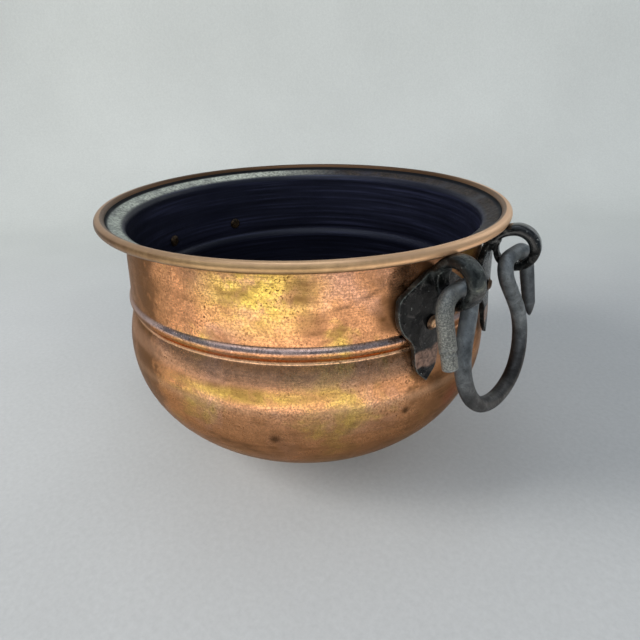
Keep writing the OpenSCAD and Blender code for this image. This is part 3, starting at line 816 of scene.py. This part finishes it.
def blackened_copper():
    """Inside: tin long gone black with a violet-blue sheen, a grey bloom on the ledge and painted shade in the
    groove.
    """
    material, put, place, (x, y, level) = new_material("blackened_inside")
    radius = put("VectorMath LENGTH", [put("CombineXYZ", [x, y])])
    mottle = put("TexNoise", [place, 45, 6, 0.65])
    grain = put("TexNoise", [place, 420, 5, 0.68])
    lines = put("TexNoise", [put("Mapping", {0: place, 3: (10, 10, 420)}), 1, 4, 0.6])
    wall = put("ValToRGB", [lines], [(0.30, "#0f101a"), (0.55, "#1c1e2d"), (0.75, "#31344a")])
    # Bloom on the ledge: pale grey on one side, brown and blotched towards the other
    ledge = put("Math MULTIPLY", [put("MapRange SMOOTHSTEP", [radius, 0.1315, 0.1345]),
                                  put("MapRange", [level, 0.170, 0.176])])
    up_to_groove = put("MapRange SMOOTHSTEP", [radius, 0.1425, 0.1405])
    groove = put("Math SUBTRACT", [ledge, up_to_groove], use_clamp=True)
    for each in (up_to_groove, put("MapRange", [mottle, 0.34, 0.54, 0.3, 1.0])):
        ledge = put("Math MULTIPLY", [ledge, each])
    pale = put("ValToRGB", [grain], [(0.35, "#7c7f77"), (0.55, "#c3c7b9"), (0.75, "#e4e8da")])
    brown = put("ValToRGB", [grain], [(0.35, "#1a1715"), (0.55, "#38302a"), (0.75, "#5d4f43")])
    along = put("Math MULTIPLY_ADD", [mottle, 0.10, put("VectorMath DOT_PRODUCT", [place, RIGHT])])
    bloomed = put("Mix", [put("MapRange SMOOTHSTEP", [along, 0, 0.09]), pale, brown])
    colour = put("Mix", [ledge, wall, bloomed])
    # Painted shade, near black, in the groove between the ledge and the roll
    colour = put("Mix", [groove, colour, "#101113"])
    rough = put("MapRange", [mottle, 0.3, 0.7, 0.34, 0.54])
    for each, gain in ((ledge, 0.25), (groove, 0.3)):
        rough = put("Math MULTIPLY_ADD", [each, gain, rough])
    return surface(material, put, [(mottle, 0.3, 0.8), (grain, 0.35, 0.3)],
                   {"Base Color": colour, "Metallic": 0.25, "Roughness": rough})


def blacked_iron():
    """Lugs: wrought iron, forged and blacked, glossy where the black is whole, grey-green where edges are rubbed."""
    material, put, place, (x, y, level) = new_material("forged_iron_blacked")
    wear, rubbed, flank = (
        put("Attribute", attribute_name=name).outputs["Fac"] for name in ("wear", "rubbed", "flank"))
    mottle = put("TexNoise", [place, 130, 6, 0.68, 2, 0.6])
    scale = put("TexNoise", [place, 480, 4, 0.62])
    # Pale specks: bare chips that also stand in as painted glints on the black
    specks = put("TexNoise", [place, 460, 2, 0.6])
    black = put("ValToRGB", [mottle], [(0.42, "#020202"), (0.55, "#0d0d0e"), (0.67, "#45413f")])
    strap = put("ValToRGB", [mottle], [(0.36, "#0e100f"), (0.50, "#262928"), (0.64, "#4c504d"), (0.72, "#777a6c")])
    # The strap is bare and grey round the eye, the leaf black. On the lugs of one side the straps are still black
    kept = put("MapRange", [y, 0.01, -0.01, 0.2, 1])
    on_strap = put("MapRange SMOOTHSTEP", [put("Math MULTIPLY_ADD", [mottle, 0.012, level]), 0.170, 0.178])
    on_strap = put("Math MULTIPLY", [on_strap, kept])
    cut_flank = put("Math MULTIPLY", [put("Math MULTIPLY", [flank, kept]), 0.75])
    on_strap = put("Math MAXIMUM", [on_strap, cut_flank])
    edge = put("MapRange SMOOTHSTEP", [put("Math MULTIPLY_ADD", [scale, 0.14, wear]), 0.14, 0.26, 0, 0.75])
    edge = put("Math MULTIPLY", [edge, kept])
    colour = black
    for mask, over in ((on_strap, strap), (rubbed, put("ValToRGB", [scale], [(0.35, "#5a463d"), (0.65, "#a58574")])),
                       (edge, "#69706a"), (put("MapRange", [specks, 0.69, 0.75, 0, 0.85]), "#8d928e")):
        colour = put("Mix", [mask, colour, over])
    bare = put("Math MAXIMUM", [put("Math MAXIMUM", [on_strap, edge]), rubbed])
    rough = put("MapRange", [mottle, 0.35, 0.68, 0.08, 0.24])
    rough = put("Math MULTIPLY_ADD", [bare, 0.2, rough])
    # Thick gloss on the eyes of that side, thin gloss on the leaves of the other
    coat = put("Math MULTIPLY", [put("MapRange", [kept, 0.2, 1.0, 0.8, 0.0]), put("MapRange", [level, 0.168, 0.174])])
    coat = put("Math ADD", [coat, put("MapRange", [kept, 0.2, 1.0, 0.0, 0.15])])
    return surface(material, put, [(mottle, 1.0, 1.3), (scale, 0.45, 0.30)], {
        "Base Color": colour, "Metallic": put("Math MULTIPLY", [bare, 0.5]), "Roughness": rough,
        "Specular IOR Level": put("MapRange", [kept, 0.2, 1.0, 0.1, 0.25]), "Coat Weight": coat,
        "Coat Roughness": 0.06})


def bare_iron():
    """Handles: wrought iron rod, forged, oiled and handled, slate grey with dark specks and a pitted blunt tail."""
    material, put, place, (x, y, level) = new_material("forged_iron_bare")
    run, wear, to_point = (
        put("Attribute", attribute_name=name).outputs["Fac"] for name in ("run", "wear", "to_point"))
    mottle = put("TexNoise", [place, 120, 6, 0.7, 2, 0.5])
    grit = put("TexNoise", [place, 1000, 3, 0.65])
    slow = put("TexNoise", [place, 38, 3, 0.55])
    both = put("Math MULTIPLY", [put("Math ADD", [mottle, slow]), 0.5])
    blue = put("ValToRGB", [both], [(0.36, "#3a3e40"), (0.50, "#616669"), (0.64, "#83898c")])
    brown = put("ValToRGB", [both], [(0.36, "#171514"), (0.50, "#2a2725"), (0.64, "#484440")])
    # The loop's bottom is browner and darker than the legs and tails
    upper = put("MapRange SMOOTHSTEP", [level, 0.088, 0.135])
    upper = put("MapRange", [put("Math MULTIPLY_ADD", [mottle, 0.5, upper]), 0.2, 1.25])
    # The blunt tail is scoured light grey and granular, with near-white grains that are partly painted glints; the
    # pointed one is darker with painted shade, and dark at its tip
    blunt = put("MapRange SMOOTHSTEP", [run, 0.062, 0.030])
    grain = put("ValToRGB", [grit], [(0.36, "#4a4b49"), (0.50, "#6a6b67"), (0.60, "#82837b"), (0.69, "#dcddd2")])
    colour = put("Mix", [upper, brown, blue])
    for mask, over in ((blunt, grain), (put("MapRange", [grit, 0.60, 0.66, 0, 0.6]), "#1c1714"),
                       (put("MapRange SMOOTHSTEP", [to_point, 0.050, 0.030, 0, 0.55]), "#2f3236"),
                       (put("MapRange SMOOTHSTEP", [to_point, 0.009, 0.003, 0, 0.8]), "#1a1a1b"),
                       (put("MapRange", [wear, 0.035, 0.10, 0, 0.4]), "#8a8f92")):
        colour = put("Mix", [mask, colour, over])
    depth = put("Math MULTIPLY_ADD", [blunt, 0.5, 0.25])
    return surface(material, put, [(mottle, 0.45, 0.7), (grit, depth, 0.3)], {
        "Base Color": colour, "Metallic": 0.5, "Roughness": put("MapRange", [mottle, 0.3, 0.7, 0.55, 0.38])})


def rivet_copper():
    """Rivets: soft copper, hammered over, bright on the crests and brown in the dents, tarnished inside the pot."""
    material, put, place, (x, y, level) = new_material("hammered_copper_rivet")
    radius = put("VectorMath LENGTH", [put("CombineXYZ", [x, y])])
    mottle = put("TexNoise", [place, 420, 4, 0.65])
    # The spread skirts and the stubs of one side are dark
    off_axis = put("Attribute", attribute_name="off_axis").outputs["Fac"]
    skirt = put("MapRange SMOOTHSTEP", [put("Math MULTIPLY_ADD", [mottle, 0.004, off_axis]), 0.0046, 0.0054, 0, 0.9])
    skirt = put("Math MAXIMUM", [skirt, put("MapRange", [y, -0.01, 0.01, 0, 0.85])])
    inside = put("MapRange", [radius, 0.1335, 0.1325])
    colour = put("ValToRGB", [mottle], [(0.34, "#8a5c3c"), (0.46, "#e0ae84"), (0.60, "#ffdcae")])
    for mask, stops in ((skirt, [(0.42, "#1d1511"), (0.58, "#5c4030")]),
                        (inside, [(0.40, "#231c15"), (0.60, "#54432f"), (0.75, "#8a7353")])):
        colour = put("Mix", [mask, colour, put("ValToRGB", [mottle], stops)])
    return surface(material, put, [(mottle, 0.5, 0.4)], {"Base Color": colour, "Metallic": 0.75, "Roughness": 0.42})


def plaster(stage):
    """Pale trowelled plaster: cloudy over 0.4 m, sandy over 4 mm, a little lighter on the backdrop."""
    material, put, place, _ = new_material("pale_plaster")
    cloud = put("TexNoise", [place, 2.6, 5, 0.6])
    sand = put("TexNoise", [place, 260, 3, 0.7])
    both = put("Math MULTIPLY", [put("MapRange", [each, 0.3, 0.7, 0.95, 1.05]) for each in (cloud, sand)])
    ahead = put("VectorMath DOT_PRODUCT", [place, FRONT])
    back = put("MapRange SMOOTHSTEP", [ahead, -0.15, -0.65])
    colour = put("Mix", [back, tuple(stage.floor) + (1,), tuple(stage.backdrop) + (1,)])
    colour = put("Mix MULTIPLY", [1.0, colour, put("CombineXYZ", [both, both, both])])
    return surface(material, put, [], {"Base Color": colour, "Roughness": 0.75, "Specular IOR Level": 0.0})


def window_light():
    """Light of a window on the floor, fading to the left, to the right and far out."""
    material, put, place, (x, y, level) = new_material("window_light_on_floor")
    azimuth = put("Math ARCTAN2", [y, x])
    radius = put("VectorMath LENGTH", [put("CombineXYZ", [x, y])])
    fade = put("MapRange", [azimuth, math.radians(-60), math.radians(60), 1.65, 0.55])
    for each in (put("MapRange", [azimuth, math.radians(-118), math.radians(-75), 0.62, 1]),
                 put("MapRange SMOOTHSTEP", [radius, 0.62, 0.92, 1, 0.3])):
        fade = put("Math MULTIPLY", [fade, each])
    put("OutputMaterial", [put("Emission", [(1.0, 0.97, 0.93, 1), fade])])
    return material


# Operators: one for each group of pieces, and one for the stage

class CAULDRON_OT_pot(bpy.types.Operator):
    """Spin the copper pot and dress it outside, on the rim and inside"""

    bl_idname = "cauldron.pot"
    bl_label = "Copper pot"

    def execute(self, context):
        pot = context.scene.cauldron_pot
        made = make_object("pot_sheet", build_pot(pot), spun_copper(), rim_copper(pot), blackened_copper())
        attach(made, "pot")
        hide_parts("bowl")
        return {"FINISHED"}


class CAULDRON_OT_lugs(bpy.types.Operator):
    """Forge the four lugs with their curled eyes"""

    bl_idname = "cauldron.lugs"
    bl_label = "Forged lugs"

    def execute(self, context):
        iron = context.scene.cauldron_iron
        blank = build_lug_blank(iron)
        finish = blacked_iron()
        for seed, (place, (turn, way)) in enumerate(PLACES.items(), 1):
            made = make_object("forged_lug_" + place, forge_lug(blank, iron, turn, way, seed), finish)
            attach(made, "pot")
            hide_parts("lug_" + place)
        blank.free()
        return {"FINISHED"}


class CAULDRON_OT_rivets(bpy.types.Operator):
    """Set the four copper rivets"""

    bl_idname = "cauldron.rivets"
    bl_label = "Copper rivets"

    def execute(self, context):
        finish = rivet_copper()
        for seed, (place, (turn, way)) in enumerate(PLACES.items(), 11):
            made = make_object("hammered_rivet_" + place, build_rivet(turn + way * RIVET_TURN, seed), finish)
            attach(made, "pot")
            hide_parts("rivet_" + place)
        return {"FINISHED"}


class CAULDRON_OT_handles(bpy.types.Operator):
    """Forge the two drop handles and hook them through the eyes"""

    bl_idname = "cauldron.handles"
    bl_label = "Drop handles"

    def execute(self, context):
        iron = context.scene.cauldron_iron
        finish = bare_iron()
        for side, turn, seed in (("right", 0, 21), ("left", 180, 22)):
            made = make_object("forged_handle_" + side, build_handle(iron, turn, seed), finish)
            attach(made, side + "_handle")
            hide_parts("handle_" + side)
        return {"FINISHED"}


class CAULDRON_OT_stage(bpy.types.Operator):
    """Lay the pale floor and backdrop, hang the soft lamps and set the camera"""

    bl_idname = "cauldron.stage"
    bl_label = "Stage and camera"

    def execute(self, context):
        scene, stage = context.scene, context.scene.cauldron_stage
        # The camera was fitted to the rim's ellipses and the rivets in the photo: its axes and its place
        camera_data = bpy.data.cameras.new("camera")
        camera_data.sensor_width, camera_data.lens = 36, stage.lens
        camera = bpy.data.objects.new("camera", camera_data)
        scene.collection.objects.link(camera)
        x_axis = Vector((0.75977, 0.64996, -0.01731))
        y_axis = Vector((-0.27209, 0.34201, 0.89945))
        z_axis = Vector((0.59052, -0.67866, 0.43670))
        turn = Matrix((x_axis, y_axis, z_axis)).transposed().to_4x4()
        camera.matrix_world = Matrix.Translation(Vector((0.26694, -0.29131, 0.27723))) @ turn
        scene.camera = camera

        # A floor that sweeps up into a backdrop
        bm = bmesh.new()
        start, bend, top, wide = -0.56, 0.34, 2.0, 4.8
        turns = [math.radians(a) for a in range(10, 91, 10)]
        section = [(2.2, 0.0), (start, 0.0)]
        section += [(start - bend * math.sin(a), bend - bend * math.cos(a)) for a in turns] + [(start - bend, top)]
        verts = [bm.verts.new(FRONT * a + Vector((0, 0, z)) - RIGHT * (wide / 2)) for a, z in section]
        edges = [bm.edges.new(pair) for pair in zip(verts, verts[1:])]
        made = bmesh.ops.extrude_edge_only(bm, edges=edges)
        bmesh.ops.translate(bm, verts=created(made, bmesh.types.BMVert), vec=RIGHT * wide)
        bmesh.ops.recalc_face_normals(bm, faces=bm.faces[:])
        floor = make_object("floor_and_backdrop", bm, plaster(stage))

        def lamp(name, at, towards, wide, tall, power, tint, seen="both"):
            """A soft lamp, its place as right, front and up. Seen says if it lights, is mirrored or both."""
            data = bpy.data.lights.new(name, "AREA")
            data.shape, data.size, data.size_y, data.energy, data.color = "RECTANGLE", wide, tall, power, tint
            made = bpy.data.objects.new(name, data)
            scene.collection.objects.link(made)
            made.location, aim = (RIGHT * a + FRONT * b + Vector((0, 0, c)) for a, b, c in (at, towards))
            made.rotation_mode = "QUATERNION"
            made.rotation_quaternion = (aim - made.location).to_track_quat("-Z", "Y")
            made.visible_camera = False
            made.visible_glossy, made.visible_diffuse = seen != "lit", seen != "mirrored"
            return made

        window = lamp("window_left", (-1.35, 0.2, 0.75), (0, 0, 0.1), 0.5, 1.1, 11, (1.0, 0.985, 0.95), "lit")
        window.data.spread = math.radians(125)
        lamp("front_soft", (0.4, 1.65, 0.75), (0, 0, 0.05), 1.4, 0.7, 20.5, (1.0, 0.985, 0.95), "lit")
        lamp("top_soft", (0.0, -0.05, 1.5), (0, 0, 0.1), 0.55, 0.55, 1.6, (0.82, 0.9, 1.0))
        lamp("sky_overhead", (-0.1, 0.15, 1.5), (-0.1, 0.15, 0), 1.3, 0.45, 2.2, (0.86, 0.92, 1.0), "mirrored")
        lamp("sky_front", (-0.45, 1.05, 1.25), (0, 0, 0.1), 2.2, 1.0, 5.4, (0.86, 0.92, 1.0), "mirrored")
        lamp("backdrop_right", (1.4, -0.35, 1.0), (0.9, -0.9, 0.5), 0.6, 0.6, 1.4, (0.97, 0.99, 1.0), "lit")
        lamp("back_right", (1.0, -0.45, 0.8), (0, 0, 0.12), 0.7, 0.7, 1.2, (0.9, 0.95, 1.0))

        # Two sheets of window light lie on the floor, which only gloss mirrors
        glow = window_light()
        for name, start, end in (("window_light_left", -125.4, -116.1), ("window_light_front", -111.3, 60)):
            bm = bmesh.new()
            edge = [bm.verts.new((reach, 0, 0.004)) for reach in (0.28, 0.95)]
            geom = edge + [bm.edges.new(edge)]
            turned(bm, start)
            bmesh.ops.spin(bm, geom=geom, cent=(0, 0, 0), axis=(0, 0, 1), dvec=(0, 0, 0),
                           angle=math.radians(end - start), steps=max(4, int((end - start) / 4)))
            made = make_object(name, bm, glow)
            made.visible_camera = made.visible_diffuse = made.visible_shadow = False

        world = bpy.data.worlds.new("soft_room")
        world.use_nodes = True
        world.node_tree.nodes.clear()
        room = add(world.node_tree, "Background", {"Color": (0.49, 0.61, 0.77, 1), "Strength": 0.36})
        add(world.node_tree, "OutputWorld", [room])
        scene.world = world
        scene.view_settings.view_transform = "Standard"
        return {"FINISHED"}


class CAULDRON_PT_panel(bpy.types.Panel):
    """Lists the cauldron's pieces in the sidebar"""

    bl_label = "Copper cauldron"
    bl_idname = "CAULDRON_PT_panel"
    bl_space_type = "VIEW_3D"
    bl_region_type = "UI"
    bl_category = "Cauldron"

    def draw(self, context):
        for kind in OPERATORS:
            self.layout.operator(kind.bl_idname)
        for group in (context.scene.cauldron_pot, context.scene.cauldron_iron, context.scene.cauldron_stage):
            box = self.layout.box()
            for name in group.__annotations__:
                box.prop(group, name)


OPERATORS = (CAULDRON_OT_stage, CAULDRON_OT_pot, CAULDRON_OT_lugs, CAULDRON_OT_rivets, CAULDRON_OT_handles)
CLASSES = (CauldronPot, CauldronIron, CauldronStage) + OPERATORS + (CAULDRON_PT_panel,)


def register():
    for each in CLASSES:
        bpy.utils.register_class(each)
    bpy.types.Scene.cauldron_pot = bpy.props.PointerProperty(type=CauldronPot)
    bpy.types.Scene.cauldron_iron = bpy.props.PointerProperty(type=CauldronIron)
    bpy.types.Scene.cauldron_stage = bpy.props.PointerProperty(type=CauldronStage)


def unregister():
    del bpy.types.Scene.cauldron_stage, bpy.types.Scene.cauldron_iron, bpy.types.Scene.cauldron_pot
    for each in reversed(CLASSES):
        bpy.utils.unregister_class(each)


def main():
    register()
    bpy.ops.cauldron.stage()
    bpy.ops.cauldron.pot()
    bpy.ops.cauldron.lugs()
    bpy.ops.cauldron.rivets()
    bpy.ops.cauldron.handles()


if __name__ == "__main__":
    main()
